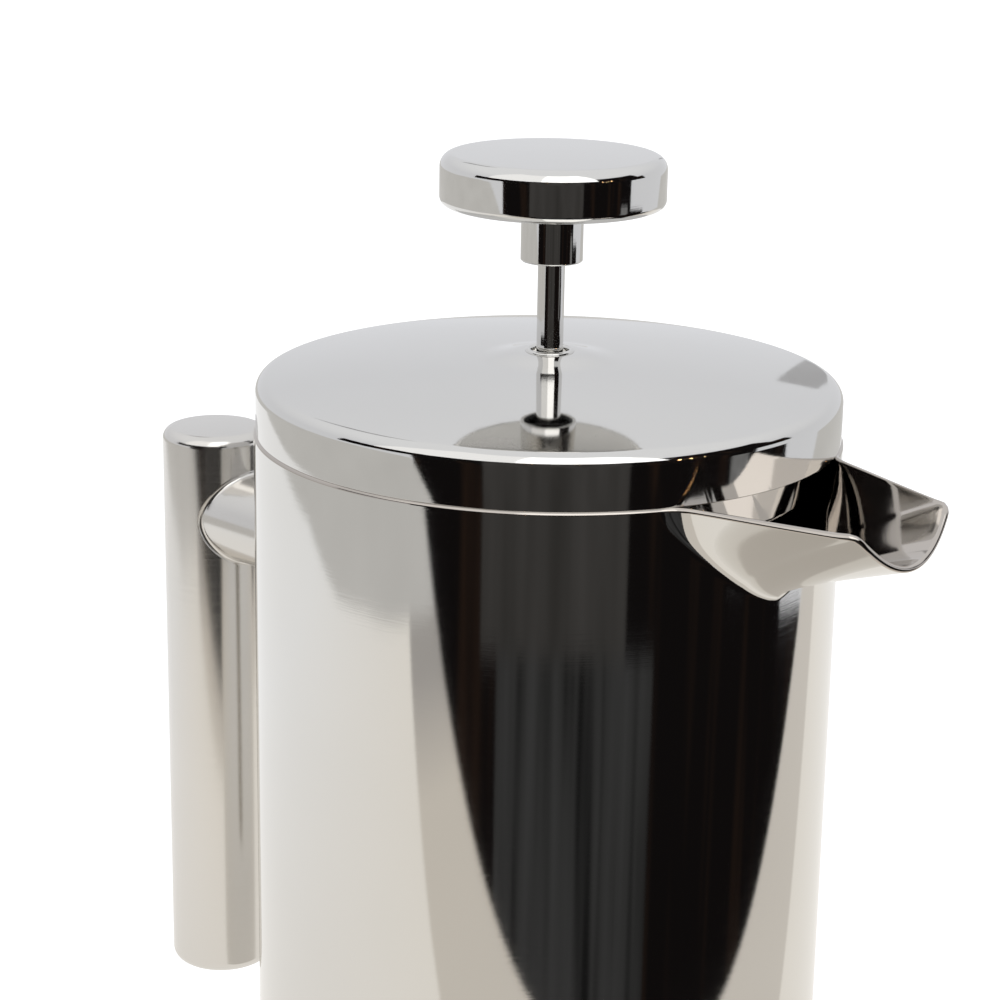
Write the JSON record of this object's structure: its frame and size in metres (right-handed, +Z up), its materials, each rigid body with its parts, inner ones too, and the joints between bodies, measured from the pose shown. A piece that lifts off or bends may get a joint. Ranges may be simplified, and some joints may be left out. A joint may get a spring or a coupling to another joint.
{
  "type": "french press",
  "caption": "Double-wall steel coffee press with a pulled spout, a vertical tube handle, a loose lid and a plunger with a screwed knob and filter stack.",
  "frame": {"origin": "centre of the pot's flat underside, on the pot's axis", "axes": "+Z up along the pot's axis, +X towards the spout, -X towards the handle"},
  "size_m": [0.1906, 0.11, 0.2226],
  "materials": {
    "polished_steel": "mirror-polished stainless steel with fine hairline marks",
    "satin_steel": "satin stainless steel",
    "wire_mesh": "woven stainless wire mesh",
    "spring_steel": "closely wound stainless spring wire"
  },
  "bodies": {
    "pot": {"outer_shell": "polished_steel", "inner_vessel": "polished_steel", "base_plate": "satin_steel", "handle_tube": "polished_steel", "handle_top_cap": "polished_steel", "handle_bottom_cap": "polished_steel", "handle_arm": "polished_steel"},
    "lid": {"lid_cover": "polished_steel", "lid_liner": "polished_steel", "lid_rod_guide": "polished_steel"},
    "filter_pack": {"cross_plate": "satin_steel", "cross_plate_hub": "satin_steel", "mesh_screen_lower": "wire_mesh", "mesh_screen_upper": "wire_mesh", "spiral_plate": "satin_steel", "filter_coil_spring": "spring_steel"},
    "washer": {"clamp_washer": "satin_steel"},
    "rod": {"plunger_rod": "polished_steel"},
    "ferrule": {"knob_ferrule": "polished_steel"},
    "knob": {"knob_cap": "polished_steel", "knob_base_plate": "satin_steel", "knob_insert": "satin_steel"}
  },
  "joints": [
    {"name": "lid_lift", "type": "slide", "parent": "pot", "child": "lid", "axis": [0, 0, 1], "range_m": [0, 0.19]},
    {"name": "plunger_slide", "type": "slide", "parent": "lid", "child": "filter_pack", "axis": [0, 0, 1], "range_m": [0, 0.138]},
    {"name": "rod_unscrew", "type": "hinge", "parent": "filter_pack", "child": "washer", "pos_m": [0, 0, 0.02], "axis": [0, 0, 1], "range_deg": [0, 1840]},
    {"name": "rod_rise", "type": "slide", "parent": "washer", "child": "rod", "axis": [0, 0, 1], "range_m": [0, 0.004]},
    {"name": "knob_unscrew", "type": "hinge", "parent": "rod", "child": "ferrule", "pos_m": [0, 0, 0.21], "axis": [0, 0, 1], "range_deg": [0, 1475]},
    {"name": "knob_rise", "type": "slide", "parent": "ferrule", "child": "knob", "axis": [0, 0, 1], "range_m": [0, 0.0032]}
  ],
  "couplings": [
    {"joint": "rod_unscrew", "follows": "rod_rise", "rad_per_m": 7854},
    {"joint": "knob_unscrew", "follows": "knob_rise", "rad_per_m": 7854}
  ]
}
